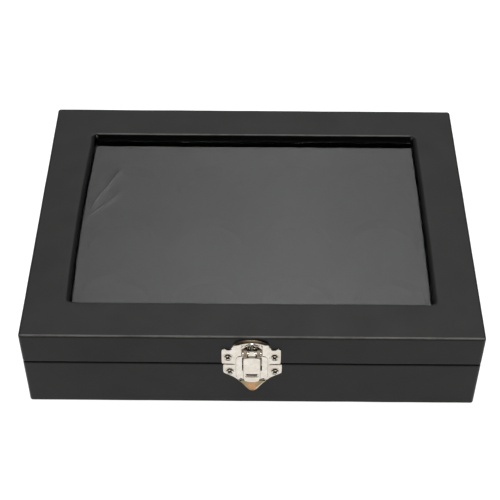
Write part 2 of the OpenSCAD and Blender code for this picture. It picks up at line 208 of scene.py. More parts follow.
def leatherette():
    """Black coated cloth with a fine pebbled grain, with a painted highlight along the folds in front and
    behind the window.
    """
    m = Nodes("leatherette")
    shade = m.ramp(m.noise(14, 4), 0.3, 0.7, 0, 1)
    colour = m.blend(shade, (0.0125, 0.0125, 0.0123), (0.0158, 0.0158, 0.0154))
    fold_highlight = m.fold_highlight_mask()
    # a lighter colour on those folds: a painted highlight
    m.join(m.blend(fold_highlight, colour, (0.095, 0.093, 0.087)), m.shader.inputs["Base Color"])
    m.join(m.ramp(m.noise(22, 5), 0.3, 0.7, 0.36, 0.45), m.shader.inputs["Roughness"])
    m.shader.inputs["Specular IOR Level"].default_value = 0.15
    waves = m.bump(m.noise(9, 2), 0.08, 0.5)
    pebbles = m.bump(m.cells(0.62, "SMOOTH_F1"), 0.05, 0.5, waves)
    m.join(m.bump(m.noise(0.22, 2), 0.02, 0.5, pebbles), m.shader.inputs["Normal"])
    return m.material


def painted_toe_shade_and_highlight(m, colour, roughness):
    """The toe: painted shade below the bridge in a dark brass, orange in the middle, and a paler painted
    highlight along its edge.
    """
    x, _, z = m.axes()
    off = m.math("ABSOLUTE", x)
    # dark brass with an orange patch below the bridge: painted shade
    patch = m.math("MULTIPLY", m.ramp(off, 1.2, 3.4, 1, 0), m.ramp(m.noise(2.6, 2), 0.35, 0.55, 0.3, 1))
    brass = m.blend(patch, (0.25, 0.21, 0.12), (0.46, 0.26, 0.13))
    # a paler band along the toe's edge: painted highlight
    past_edge = m.math("SUBTRACT", off, m.ramp(z, TOE_Z - 6.8, TOE_Z, 2.4, 7.3))
    brass = m.blend(m.ramp(past_edge, -0.75, -0.45, 0, 1), brass, (0.50, 0.44, 0.34))
    return m.blend(m.ramp(z, TOE_Z, TOE_Z - 1.0, 0, 1), colour, brass), roughness


def painted_crown_reflection(m, colour, roughness):
    """A painted reflection: the sloped band along the top of the lid plate's arc is painted dark brown and
    made dull.
    """
    x, _, z = m.axes()
    up = m.math("SUBTRACT", z, CROWN_Z)
    foot = CROWN_R - CROWN_RISE - 2.9
    along = m.ramp(up, foot, foot + 1, 0, 1)
    band = m.math("MULTIPLY", m.ramp(m.length(up, x), CROWN_R - 0.8, CROWN_R - 0.55, 0, 1), along)
    # dark brown on the upward slope: a painted reflection
    return m.blend(band, colour, (0.105, 0.078, 0.050)), m.ramp(band, 0, 1, 0.2, 0.42)


def painted_screw_shade(box):
    """Painted shade in the crossed slots of a pair of screws, and round the upper half of their rims."""
    (left, height), (right, _) = screw_places(box)

    def painted_light(m, colour, roughness):
        x, _, z = m.axes()
        off = m.math("ABSOLUTE", m.math("SUBTRACT", x, (left + right) / 2))
        u = m.math("SUBTRACT", off, (right - left) / 2)
        v = m.math("SUBTRACT", z, height)
        # the cosine and sine of SLOT_TURN
        cos, sin = 0.79, 0.61
        one = m.math("ABSOLUTE", m.math("ADD", m.math("MULTIPLY", u, cos), m.math("MULTIPLY", v, sin)))
        other = m.math("ABSOLUTE", m.math("SUBTRACT", m.math("MULTIPLY", v, cos), m.math("MULTIPLY", u, sin)))
        near = m.ramp(m.math("MINIMUM", one, other), 0.36, 0.48, 1, 0)
        slots = m.math("MULTIPLY", near, m.ramp(m.math("MAXIMUM", one, other), 1.1, 1.3, 1, 0))
        rim = m.math("MULTIPLY", m.ramp(m.length(u, v), 1.25, 1.4, 0, 1), m.ramp(v, 0.1, 0.7, 0, 1))
        # the slots and the upper half of the rims are darkened: painted shade
        screw_shade = m.math("MAXIMUM", slots, rim)
        return m.blend(screw_shade, colour, (0.02, 0.015, 0.010)), m.ramp(screw_shade, 0, 1, 0.2, 0.6)
    return painted_light


def nickel(name="nickel", painted_light=None):
    """Nickel plate over pressed steel, warm in places. The optional function paints light or shade into its
    colour and changes its roughness.
    """
    m = Nodes(name)
    colour = m.blend(m.ramp(m.noise(3.5, 5), 0.35, 0.7, 0, 1), (0.71, 0.67, 0.605), (0.59, 0.53, 0.45))
    roughness = m.ramp(m.noise(1.3, 5), 0.3, 0.7, 0.16, 0.27)
    # painted shade, highlight or reflection, where a function for it is given
    if painted_light is not None:
        colour, roughness = painted_light(m, colour, roughness)
    m.join(colour, m.shader.inputs["Base Color"])
    m.join(roughness, m.shader.inputs["Roughness"])
    m.shader.inputs["Metallic"].default_value = 1.0
    dents = m.bump(m.noise(2.4, 2), 0.03, 0.5)
    m.join(m.bump(m.noise(0.25, 3), 0.006, 0.5, dents), m.shader.inputs["Normal"])
    return m.material


def velvet():
    """Black flock: nearly no light back, with a faint sheen on the pile."""
    m = Nodes("velvet")
    shade = m.ramp(m.noise(7, 5), 0.3, 0.7, 0, 1)
    colour = m.blend(shade, (0.0055, 0.0055, 0.0060), (0.0090, 0.0090, 0.0096))
    m.join(colour, m.shader.inputs["Base Color"])
    m.shader.inputs["Roughness"].default_value = 0.95
    m.shader.inputs["Specular IOR Level"].default_value = 0.03
    m.shader.inputs["Sheen Weight"].default_value = 0.015
    m.shader.inputs["Sheen Roughness"].default_value = 0.35
    m.join(m.bump(m.noise(0.18, 2), 0.12, 0.8, m.bump(m.noise(2.5, 3), 0.15, 0.4)), m.shader.inputs["Normal"])
    return m.material


def board():
    """Bare fibreboard."""
    m = Nodes("board")
    fibres = m.ramp(m.noise(0.5, 6, 0.7), 0.3, 0.7, 0, 1)
    m.join(m.blend(fibres, (0.30, 0.19, 0.10), (0.47, 0.33, 0.20)), m.shader.inputs["Base Color"])
    m.shader.inputs["Roughness"].default_value = 0.85
    m.join(m.bump(m.noise(0.4, 4), 0.05, 0.6), m.shader.inputs["Normal"])
    return m.material


def matt(name, size, depth, colour):
    """A matt material, a little cloudy, with fibres or pits size millimetres across."""
    m = Nodes(name)
    light = tuple(1.5 * c for c in colour)
    clouds = m.ramp(m.noise(size * 6, 5), 0.3, 0.7, 0, 1)
    m.join(m.blend(clouds, colour, light), m.shader.inputs["Base Color"])
    m.shader.inputs["Roughness"].default_value = 0.8
    m.join(m.bump(m.noise(size, 4), depth, 0.6), m.shader.inputs["Normal"])
    return m.material


def clear_sheet():
    """The pane: smoked acrylic."""
    m = Nodes("clear_sheet")
    m.shader.inputs["Base Color"].default_value = (0.17, 0.17, 0.17, 1)
    m.shader.inputs["Transmission Weight"].default_value = 1.0
    m.shader.inputs["IOR"].default_value = 1.28
    m.join(m.ramp(m.noise(12, 4), 0.3, 0.7, 0.015, 0.035), m.shader.inputs["Roughness"])
    return m.material


def film():
    """The clear film on the pane."""
    m = Nodes("film")
    m.shader.inputs["Base Color"].default_value = (1, 1, 1, 1)
    m.shader.inputs["Transmission Weight"].default_value = 1.0
    m.shader.inputs["IOR"].default_value = 1.2
    m.shader.inputs["Roughness"].default_value = 0.03
    return m.material


def painted_crease_highlight():
    """A painted highlight: grey strips laid along the film's creases."""
    m = Nodes("painted_crease_highlight")
    m.join(m.blend(m.noise(1.5, 4), (0.06, 0.06, 0.06), (0.11, 0.11, 0.11)), m.shader.inputs["Base Color"])
    m.shader.inputs["Roughness"].default_value = 0.3
    return m.material


def pleat_painted_highlight():
    """The pleat's leatherette: glossy, and lighter in patches as a painted highlight."""
    m = Nodes("tucked_leatherette")
    # a lighter colour in patches: painted highlight
    colour = m.blend(m.noise(1.1, 3), (0.012, 0.012, 0.011), (0.05, 0.05, 0.047))
    m.join(colour, m.shader.inputs["Base Color"])
    m.shader.inputs["Roughness"].default_value = 0.22
    m.join(m.bump(m.noise(0.5, 3), 0.05, 0.6), m.shader.inputs["Normal"])
    return m.material


MAT = {
    "leatherette": leatherette(),
    "nickel": nickel(),
    "toe": nickel("nickel_toe_painted_light", painted_toe_shade_and_highlight),
    "crown": nickel("nickel_crown", painted_crown_reflection),
    "lower_hasp_screw": nickel("nickel_lower_screws", painted_screw_shade(BASE_SCREWS)),
    "upper_hasp_screw": nickel("nickel_upper_screws", painted_screw_shade(LID_SCREWS)),
    # a dark brown for the pin's ears, the lever's rolls and the hook, which sit in shade: painted shade
    "shaded_nickel": matt("nickel_painted_shade", 0.6, 0.02, (0.24, 0.19, 0.135)),
    "velvet": velvet(),
    "board": board(),
    "card": matt("black_card", 0.3, 0.05, (0.018, 0.018, 0.019)),
    "foam": matt("foam", 0.7, 0.4, (0.03, 0.03, 0.033)),
    "pane": clear_sheet(),
    "film": film(),
    "crease": painted_crease_highlight(),
    "tuck": pleat_painted_highlight(),
}


# ---------- meshes ----------

def new_piece(name, vertices, faces, material):
    """A mesh object from points in millimetres, with its faces turned outwards."""
    mesh = bpy.data.meshes.new(name)
    mesh.from_pydata([Vector(v) * MM for v in vertices], [], faces)
    form = bmesh.new()
    form.from_mesh(mesh)
    bmesh.ops.recalc_face_normals(form, faces=form.faces)
    form.to_mesh(mesh)
    form.free()
    mesh.shade_smooth()
    piece = bpy.data.objects.new(name, mesh)
    scene.collection.objects.link(piece)
    mesh.materials.append(material)
    return piece


def settle(piece):
    """Applies a piece's modifiers."""
    bpy.context.view_layer.update()
    shaped = piece.evaluated_get(bpy.context.evaluated_depsgraph_get())
    mesh = bpy.data.meshes.new_from_object(shaped)
    piece.modifiers.clear()
    piece.data = mesh
    return piece


def even_normals(piece):
    """Lets the large faces decide the shading, so that flats stay flat beside rounded edges."""
    modifier = piece.modifiers.new("normals", "WEIGHTED_NORMAL")
    modifier.keep_sharp = True
    return piece


def finish_piece(piece, body, slot, *nodes):
    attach(piece, body)
    if nodes:
        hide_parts(*nodes)
    return piece


SIDE_STEPS = 90
CORNER_STEPS = 6


def loop(half_x, half_y, radius, z_side, z_end):
    """A closed rounded rectangle, z_side high along its left and right and z_end along its front and back."""
    points = []
    for quarter in range(4):
        out = Vector((math.cos(quarter * math.pi / 2), math.sin(quarter * math.pi / 2)))
        along = Vector((-out.y, out.x))
        reach, run = (half_x, half_y) if quarter % 2 == 0 else (half_y, half_x)
        z = z_side if quarter % 2 == 0 else z_end
        for step in range(SIDE_STEPS + 1):
            s = (run - radius) * (2 * step / SIDE_STEPS - 1)
            p = out * reach + along * s
            points.append((p.x, p.y, z))
        centre = out * (reach - radius) + along * (run - radius)
        for step in range(1, CORNER_STEPS):
            angle = (quarter + step / CORNER_STEPS) * math.pi / 2
            weight = math.cos(angle) ** 2
            points.append((
                centre.x + radius * math.cos(angle),
                centre.y + radius * math.sin(angle),
                z_side * weight + z_end * (1 - weight),
            ))
    return points


def sweep(name, loops, material, shift):
    """A closed shell through the loops in turn, each point moved by shift."""
    count = len(loops[0])
    vertices = [shift(Vector(p)) for ring in loops for p in ring]
    faces = []
    for i in range(len(loops)):
        j = (i + 1) % len(loops)
        for k in range(count):
            n = (k + 1) % count
            faces.append((i * count + k, i * count + n, j * count + n, j * count + k))
    return new_piece(name, vertices, faces, material)


WRINKLE = 0.07
# without a seed, the noise would start from the time of day
noise.seed_set(1)


def wrinkle(p):
    """The slight unevenness of cloth glued over board."""
    return noise.noise_vector(p / 17) * WRINKLE + noise.noise_vector(p / 5.5) * (WRINKLE * 0.35)


ARC = [i / 6 for i in range(7)]


def outer_arc(radius, z, way):
    """(inset, height) pairs from a side round its top edge, with way 1, or its bottom edge, with way -1."""
    pairs = []
    for t in ARC:
        angle = t * math.pi / 2
        pairs.append((radius * (1 - math.cos(angle)), z - way * radius * (1 - math.sin(angle))))
    return pairs


def walls(pairs, corner):
    """Loops at insets from the case's sides."""
    rings = []
    for inset, z in pairs:
        radius = max(corner - inset, 0.25)
        rings.append(loop(HALF_X - inset, HALF_Y - inset, radius, z, z))
    return rings


# the radii of the covers' corners and edges, and how far the window's corners pull the leatherette in
CORNER = 1.4
TOP_EDGE = 1.0
LID_EDGE = 0.45
BASE_EDGE = 1.0
FOOT_EDGE = 0.5
SIDE_ROLL = 2.2
END_ROLL = 0.5
CORNER_PULL = 1.1


def window_bow(p):
    """How far the leatherette beside the window has crept outwards from its tightest place."""
    t = max(-1.0, min(1.0, p.y / WINDOW_Y))
    if p.x < 0:
        return 1.5 - 1.25 * t * t - 0.65 * t
    return 0.6 - 0.4 * t * t


def cover_of_lid():
    """The lid's leatherette, in loops from its hem up the outside, over the window's edge and back."""
    inner = WALL_IN + SKIN
    hem = LID_Z + TURN_IN
    rim = [(inner, hem), (inner, hem - 2), (inner, LID_Z + 0.3), (inner - 0.3, LID_Z), (inner - 0.8, LID_Z)]
    edge = list(reversed(outer_arc(LID_EDGE, LID_Z, -1)))
    side = [(0, LID_Z + 1.2), (0, LID_Z + 5), (0, TOP_Z - 5), (0, TOP_Z - 1.6)]
    top = outer_arc(TOP_EDGE, TOP_Z, 1) + [(TOP_EDGE + 0.5, TOP_Z)]
    rings = walls(rim + [(0.9, LID_Z)] + edge + side + top, CORNER)

    # the top face, then over the window's edge and down to the pane
    open_x, open_y = WINDOW_X - CORNER_PULL, WINDOW_Y
    first_x, first_y = HALF_X - TOP_EDGE - 0.5, HALF_Y - TOP_EDGE - 0.5
    for t in (0.15, 0.35, 0.55, 0.75, 0.9):
        x = first_x + (open_x + SIDE_ROLL + 0.5 - first_x) * t
        y = first_y + (open_y + END_ROLL + 0.5 - first_y) * t
        rings.append(loop(x, y, 0.25 + 2.6 * t, TOP_Z, TOP_Z))
    for t in ARC:
        angle = t * math.pi / 2
        x = open_x + SIDE_ROLL * (1 - math.sin(angle))
        y = open_y + END_ROLL * (1 - math.sin(angle))
        z_side = TOP_Z - SIDE_ROLL * (1 - math.cos(angle))
        z_end = TOP_Z - END_ROLL * (1 - math.cos(angle))
        rings.append(loop(x, y, 1.6 + 0.8 * (1 - t), z_side, z_end))
    for z in (PANE[1].z + 1.2, PANE[1].z):
        rings.append(loop(open_x, open_y, 1.6, z, z))

    # back under the rails and down the inside of the skin
    under = RAIL[0].z
    inside = RAIL[1].z
    for grow, z in ((8, PANE[1].z), (8, under), (SKIN + 0.9, under), (SKIN + 0.9, inside - 1.6)):
        rings.append(loop(WINDOW_X + grow, WINDOW_Y + grow, 1.0, z, z))
    rings.append(loop(WINDOW_X + 2.6, WINDOW_Y + 1.6, 1.0, inside, inside))
    back = [(SKIN, inside - 0.1), (SKIN, LID_Z + SKIN), (WALL_IN, LID_Z + SKIN), (WALL_IN, hem)]
    rings += walls(back, CORNER)

    def shift(p):
        near = math.exp(-((abs(p.x) - open_x) / 4) ** 2)
        if p.z > PANE[1].z - 0.1 and abs(p.x) < HALF_X - 6:
            p = p + Vector((math.copysign(near * window_bow(p), p.x), 0, 0))
        moved = wrinkle(p)
        moved.z = min(moved.z, TOP_Z - p.z) if p.z > TOP_Z - 2 else moved.z
        return p + moved
    return sweep("lid_leatherette", rings, MAT["leatherette"], shift)


def cover_of_base():
    """The base's leatherette, in loops from its hem down the outside, under the floor and back."""
    inner = WALL_IN + SKIN
    hem = RIM_Z - TURN_IN
    rim = [(inner, hem), (inner, hem + 2), (inner, RIM_Z - 0.3), (inner - 0.3, RIM_Z), (inner - 0.8, RIM_Z)]
    edge = list(reversed(outer_arc(BASE_EDGE, RIM_Z, 1)))
    side = [(0, RIM_Z - 1.6), (0, RIM_Z - 6), (0, BOTTOM_Z + 6), (0, BOTTOM_Z + 2)]
    foot = outer_arc(FOOT_EDGE, BOTTOM_Z, -1) + [(4, BOTTOM_Z), (12, BOTTOM_Z), (12, BOTTOM_Z + SKIN)]
    back = [(SKIN, BOTTOM_Z + SKIN), (SKIN, RIM_Z - SKIN), (WALL_IN, RIM_Z - SKIN), (WALL_IN, hem)]
    rings = walls(rim + [(1.5, RIM_Z)] + edge + side + foot + back, CORNER)

    def shift(p):
        moved = wrinkle(p)
        moved.z = max(moved.z, BOTTOM_Z - p.z) if p.z < BOTTOM_Z + 2 else moved.z
        return p + moved
    return sweep("base_leatherette", rings, MAT["leatherette"], shift)


def cut_hinge_seats(piece, z_low, z_high):
    """Takes the hinge leaves' room out of a cover's back rim."""
    for side in ("left", "right"):
        leaf = [box_mm(f"{side}_hinge_{part}_leaf") for part in ("base", "lid")]
        low_x, high_x = leaf[0][0].x, leaf[0][1].x
        low_y = leaf[0][0].y
        form = bmesh.new()
        bmesh.ops.create_cube(form, size=1)
        size = Vector((high_x - low_x, HALF_Y + 1 - low_y, z_high - z_low))
        middle = Vector(((low_x + high_x) / 2, (low_y + HALF_Y + 1) / 2, (z_low + z_high) / 2))
        for v in form.verts:
            v.co = (Vector(a * b for a, b in zip(v.co, size)) + middle) * MM
        mesh = bpy.data.meshes.new("seat")
        form.to_mesh(mesh)
        form.free()
        tool = bpy.data.objects.new("seat", mesh)
        scene.collection.objects.link(tool)
        modifier = piece.modifiers.new("seat", "BOOLEAN")
        modifier.operation = "DIFFERENCE"
        modifier.solver = "EXACT"
        modifier.object = tool
        settle(piece)
        bpy.data.objects.remove(tool)
    return piece


def cad_copy(node, name, material):
    """A copy of a CAD node's mesh, welded, with its flat faces whole again."""
    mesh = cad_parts[node].data.copy()
    mesh.materials.clear()
    mesh.materials.append(material)
    form = bmesh.new()
    form.from_mesh(mesh)
    bmesh.ops.remove_doubles(form, verts=form.verts, dist=2e-6)
    bmesh.ops.dissolve_limit(
        form, angle_limit=math.radians(0.5), use_dissolve_boundaries=False,
        verts=form.verts, edges=form.edges,
    )
    form.to_mesh(mesh)
    form.free()
    piece = bpy.data.objects.new(name, mesh)
    scene.collection.objects.link(piece)
    return piece


def eased(node, name, material, width, body, slot):
    """A CAD node with its sharp edges rounded."""
    piece = cad_copy(node, name, material)
    modifier = piece.modifiers.new("edges", "BEVEL")
    modifier.width = width * MM
    modifier.segments = 3
    modifier.limit_method = "ANGLE"
    modifier.angle_limit = math.radians(35)
    settle(piece)
    piece.data.shade_smooth()
    even_normals(piece)
    return finish_piece(piece, body, slot, node)


def pressed(node, name, material, body, slot):
    """A CAD node as pressed and plated metal: every edge and inner corner flows."""
    piece = cad_copy(node, name, material)
    piece.data.transform(Matrix.Scale(1 / MM, 4))
    remesh = piece.modifiers.new("voxels", "REMESH")
    remesh.mode = "VOXEL"
    remesh.voxel_size = 0.07
    smooth = piece.modifiers.new("flow", "SMOOTH")
    smooth.factor = 0.5
    smooth.iterations = 2
    thin = piece.modifiers.new("thin", "DECIMATE")
    thin.ratio = 0.3
    settle(piece)
    piece.data.transform(Matrix.Scale(MM, 4))
    piece.data.shade_smooth()
    return finish_piece(piece, body, slot, node)


def strip(name, stations, thickness, material):
    """A closed strap through stations: a middle, half the width as a vector, and the way the face points."""
    around = 14
    squareness = 0.6
    vertices = []
    for middle, half, up in stations:
        for k in range(around):
            angle = 2 * math.pi * k / around
            across = math.copysign(abs(math.cos(angle)) ** squareness, math.cos(angle))
            rise = math.copysign(abs(math.sin(angle)) ** squareness, math.sin(angle))
            vertices.append(Vector(middle) + Vector(half) * across + Vector(up) * (rise * thickness / 2))
    end = len(vertices)
    faces = [tuple(range(around)), tuple(reversed(range(end - around, end)))]
    for i in range(len(stations) - 1):
        for k in range(around):
            n = (k + 1) % around
            faces.append((i * around + k, i * around + n, (i + 1) * around + n, (i + 1) * around + k))
    return new_piece(name, vertices, faces, material)


# ---------- pressed metal: sheets on the case's front, drawn in x and z and pushed out to a height ----------

def soft(t):
    """0 below 0, 1 above 1, and an even curve between."""
    t = np.clip(t, 0, 1)
    return t * t * (3 - 2 * t)


def rolled(depth, radius):
    """How far a sheet falls back as it nears its edge."""
    gap = np.clip(radius - depth, 0, radius)
    return radius - np.sqrt(radius ** 2 - gap ** 2)


def depth_in(x, z, outline):
    """Distance of each point from the outline: above 0 inside it."""
    nearest = np.full(len(x), 1e9)
    inside = np.zeros(len(x), bool)
    for (ax, az), (bx, bz) in zip(outline, outline[1:] + outline[:1]):
        length = (bx - ax) ** 2 + (bz - az) ** 2
        if length < 1e-12:
            continue
        t = np.clip(((x - ax) * (bx - ax) + (z - az) * (bz - az)) / length, 0, 1)
        nearest = np.minimum(nearest, np.hypot(x - ax - t * (bx - ax), z - az - t * (bz - az)))
        if az != bz:
            inside ^= ((az > z) != (bz > z)) & (x < (bx - ax) * (z - az) / (bz - az) + ax)
    return np.where(inside, nearest, -nearest)


def rounded(outline, rounds=2):
    """The outline with its corners cut again and again."""
    for _ in range(rounds):
        cut = []
        for (ax, az), (bx, bz) in zip(outline, outline[1:] + outline[:1]):
            cut += [(0.8 * ax + 0.2 * bx, 0.8 * az + 0.2 * bz), (0.2 * ax + 0.8 * bx, 0.2 * az + 0.8 * bz)]
        outline = cut
    return outline


def both_ways(right, shift=0.0):
    """A right-hand outline and its mirror image."""
    return [(x + shift, z) for x, z in right] + [(shift - x, z) for x, z in reversed(right)]


def disc(x, z, radius, steps=36):
    turns = [2 * math.pi * k / steps for k in range(steps)]
    return [(x + radius * math.cos(a), z + radius * math.sin(a)) for a in turns]


def sheet_metal(name, outline, height, thickness, material, step=0.22, holes=()):
    """A sheet whose front stands height(x, z) before the case's front."""
    form = bmesh.new()
    form.faces.new([form.verts.new((x, 0, z)) for x, z in outline])
    bmesh.ops.triangulate(form, faces=form.faces[:])
    for axis in (0, 2):
        places = [point[axis // 2] for point in outline]
        count = max(2, round((max(places) - min(places)) / step))
        cuts = [min(places) + (max(places) - min(places)) * (i + 0.5) / count for i in range(count)]
        cuts += [hole[axis + k] for hole in holes for k in (0, 1)]
        for cut in cuts:
            spot, way = Vector(), Vector()
            spot[axis], way[axis] = cut, 1
            geometry = form.verts[:] + form.edges[:] + form.faces[:]
            bmesh.ops.bisect_plane(form, geom=geometry, plane_co=spot, plane_no=way, dist=1e-5)
    for x0, x1, z0, z1 in holes:
        gone = []
        for face in form.faces:
            middle = face.calc_center_median()
            if x0 < middle.x < x1 and z0 < middle.z < z1:
                gone.append(face)
        bmesh.ops.delete(form, geom=gone, context="FACES")
    bmesh.ops.remove_doubles(form, verts=form.verts, dist=1e-3)
    bmesh.ops.join_triangles(form, faces=form.faces[:], angle_face_threshold=0.1, angle_shape_threshold=0.5)
    x = np.array([v.co.x for v in form.verts])
    z = np.array([v.co.z for v in form.verts])
    for v, out in zip(form.verts, height(x, z)):
        v.co.y = -HALF_Y - out
    mesh = bpy.data.meshes.new(name)
    form.to_mesh(mesh)
    form.free()
    mesh.materials.append(material)
    piece = bpy.data.objects.new(name, mesh)
    scene.collection.objects.link(piece)
    for polygon in mesh.polygons:
        if polygon.normal.y > 0:
            polygon.flip()
    solid = piece.modifiers.new("thickness", "SOLIDIFY")
    solid.thickness = thickness
    solid.offset = -1
    solid.use_even_offset = False
    settle(piece)
    piece.data.transform(Matrix.Scale(MM, 4))
    piece.data.shade_smooth()
    return piece


# how far the hasp's sheets stand before the case's front, and their thickness
SHEET = 0.6
BOSS = 1.6
BRIDGE = 1.9
TONGUE = 4.0
METAL = 0.5


def seats(x, z, box):
    """The ring pressed round each screw."""
    away = np.min([np.hypot(x - cx, z - cz) for cx, cz in screw_places(box)], axis=0)
    return 0.35 * np.exp(-((away - HEAD - 0.25) / 0.28) ** 2)


def crown_arc(steps=9):
    """The right half of the arc over the lid plate, from its foot to its top."""
    turns = [math.asin(CROWN_HALF / CROWN_R) * (1 - k / steps) for k in range(steps + 1)]
    return [(CROWN_R * math.sin(a), CROWN_Z + CROWN_R * math.cos(a)) for a in turns]


def runs(path):
    """Each place of a path, with the step from the place before it to the place after it."""
    for i, spot in enumerate(path):
        before, after = path[max(i - 1, 0)], path[min(i + 1, len(path) - 1)]
        yield spot, (after[0] - before[0], after[1] - before[1])


def upper_plate():
    """The lid's plate with its crown, the hood's arch, the tongue over the pin and the pin's two ears."""
    middle = (LID_PLATE[0].x + LID_PLATE[1].x) / 2
    half = (LID_PLATE[1].x - LID_PLATE[0].x) / 2
    foot = LID_PLATE[0].z - 0.05
    wing = [(half - 0.4, foot), (half, foot + 0.5), (half, 36.8), (half - 0.5, 37.8), (half - 1.5, 38.1),
            (10.4, 37.3), (9.0, 37.4), (8.2, 38.6), (7.6, 40.6)]
    outline = rounded(both_ways(wing + crown_arc(), middle))
    arch_z, arch_r = 38.2, 4.2
    arch_foot, arch_top = 36.7, 42.9
    notch_top = 34.5

    def height(x, z):
        inside = depth_in(x, z, outline)
        out = SHEET - rolled(inside, 0.35) - seats(x, z, LID_SCREWS)
        shoulder = soft((z - 37.2) / 1.0) * soft((10 - np.abs(x)) / 0.8)
        out -= 0.35 * np.clip(1 - inside / 0.8, 0, 1) * shoulder
        slope = np.clip(0.35 + 0.65 * (CROWN_R - np.hypot(x, z - CROWN_Z)) / 0.75, 0, 1)
        out += (BOSS - SHEET) * np.minimum(slope, soft((9.0 - np.abs(x)) / 3.6))
        over = z > arch_z
        radius = np.where(over, np.hypot(x, z - arch_z), np.abs(x))
        legs = soft((z - arch_foot) / 0.5)
        out += 0.45 * soft(1 - np.abs(radius - arch_r) / 0.6) * legs * soft((arch_top - z) / 0.6)
        out -= 0.55 * soft((arch_r - 0.3 - radius) / 0.4) * legs
        out -= 0.5 * np.exp(-((np.abs(x) - 0.85) / 0.3) ** 2 - ((z - 42.7) / 0.28) ** 2)
        return np.maximum(out, 0.2)
    notch = (-LEVER[1].x - 0.4, LEVER[1].x + 0.4, foot - 1, notch_top)
    piece = sheet_metal("hasp_upper_plate", outline, height, METAL, MAT["crown"], 0.2, [notch])
    finish_piece(piece, "lid", "nickel", "hasp_lid_plate")

    # the tongue that comes down from the crown over the pin: how far out, how high and half how wide
    path = ((1.2, 43.1, 0.8), (1.9, 42.5, 0.75), (2.6, 41.95, 0.7), (3.25, 41.45, 0.65), (3.75, 41.05, 0.75),
            (4.05, 40.6, 0.95), (4.12, 39.9, 1.15), (4.15, 39.2, 1.45), (4.2, 38.6, 1.65), (4.1, 38.0, 1.75),
            (3.7, 37.5, 1.75), (3.0, 37.3, 1.7), (1.9, 37.5, 1.5))
    stations = []
    for (out, z, half_w), (outwards, upwards) in runs(path):
        run = Vector((0, -outwards, upwards)).normalized()
        stations.append(((0, -HALF_Y - out, z), (half_w, 0, 0), run.cross(Vector((1, 0, 0)))))
    finish_piece(strip("hasp_pin_tongue", stations, 0.45, MAT["nickel"]), "lid", "nickel", "hasp_lid_plate")

    # the two ears that hold the pin's ends
    for side, x in (("left", PIN[0].x + 0.3), ("right", PIN[1].x - 0.3)):
        stations = []
        for i in range(9):
            out = BOSS - 0.6 + i * (PIVOT_D + 1.1 - BOSS + 0.6) / 8
            half_h = 1.65 * math.sqrt(max(0.02, 1 - max(0, (out - PIVOT_D + 0.6) / 1.75) ** 2))
            stations.append(((x, -HALF_Y - out, PIVOT_Z), (0, 0, half_h), (1, 0, 0)))
        # the ears take the painted-shade brown
        piece = strip(f"hasp_{side}_ear", stations, 0.55, MAT["shaded_nickel"])
        finish_piece(piece, "lid", "nickel", "hasp_lid_plate")


def lower_plate():
    """The base's plate with its ears and toe, the bridge raised on it and the hook."""
    middle = (BASE_PLATE[0].x + BASE_PLATE[1].x) / 2
    half = (BASE_PLATE[1].x - BASE_PLATE[0].x) / 2
    foot = BASE_PLATE[0].z
    ear_top, ear_low = LID_PLATE[0].z - 0.3, 21.4
    right = [(0.6, foot), (1.5, foot + 0.4), (2.6, foot + 1.8), (4.1, 13.6), (5.7, 15.9), (7.2, 17.8),
             (8.8, 19.3), (half - 0.8, ear_low), (half, ear_low + 0.7),
             (half, ear_top - 0.5), (half - 0.5, ear_top)]
    outline = rounded(both_ways(right, middle))

    def height(x, z):
        depth = depth_in(x, z, outline)
        rim = 0.28 * np.exp(-((depth - 0.45) / 0.3) ** 2) * soft((18.2 - z) / 1.5)
        dent = 0.42 * np.exp(-((z - 16.85) / 0.38) ** 2) * soft((np.abs(x) - 2.6) / 0.8)
        sunk = 0.15 * soft((17 - z) / 2)
        return SHEET - rolled(depth, 0.35) - seats(x, z, BASE_SCREWS) + rim - sunk - dent
    under = (-6.2, 6.2, 18.9, RIM_Z - 0.2)
    openings = [under, (-5.2, -2.9, 17.6, 18.95), (3.1, 5.6, 17.6, 18.95)]
    piece = sheet_metal("hasp_lower_plate", outline, height, METAL, MAT["toe"], 0.2, openings)
    finish_piece(piece, "base", "nickel", "hasp_base_plate")

    wide, low, top = 7.05, 18.3, 35.1
    corner = [(2.5, low), (3.5, low + 0.6), (4.8, low + 1.1), (6.2, low + 1.4), (wide, low + 2.4),
              (wide, top - 2.8), (wide - 0.75, top - 0.8), (wide - 2.4, top)]
    shape = rounded(both_ways(corner))

    def bridge(x, z):
        out = BRIDGE - rolled(depth_in(x, z, shape), 0.6)
        return out + 0.1 * soft((low + 1.2 - z) / 1.2)
    window = (-LEVER[1].x - 0.35, LEVER[1].x + 0.6, 25.0, top - 0.9)
    piece = sheet_metal("hasp_bridge", shape, bridge, SHEET, MAT["nickel"], 0.22, [window])
    finish_piece(piece, "base", "nickel", "hasp_base_plate")
    for side, x in (("left", 0.3 - wide), ("right", wide - 0.3)):
        stations = [((x, -HALF_Y - 0.9, z), (0, 0.75, 0), (1, 0, 0)) for z in (20.4, 21.4, 24, 26.6, 27.4)]
        piece = strip(f"hasp_bridge_{side}_side", stations, 0.5, MAT["nickel"])
        finish_piece(piece, "base", "nickel", "hasp_base_plate")
    hook = ((1.5, 24.25), (2.5, 24.3), (3.6, 24.3), (4.1, 24.4), (4.4, 24.75))
    stations = [((0, -HALF_Y - out, z), (2.4, 0, 0), (0, 0, 1)) for out, z in hook]
    # the hook takes the painted-shade brown
    finish_piece(strip("hasp_hook", stations, 0.6, MAT["shaded_nickel"]), "base", "nickel", "hasp_base_plate")


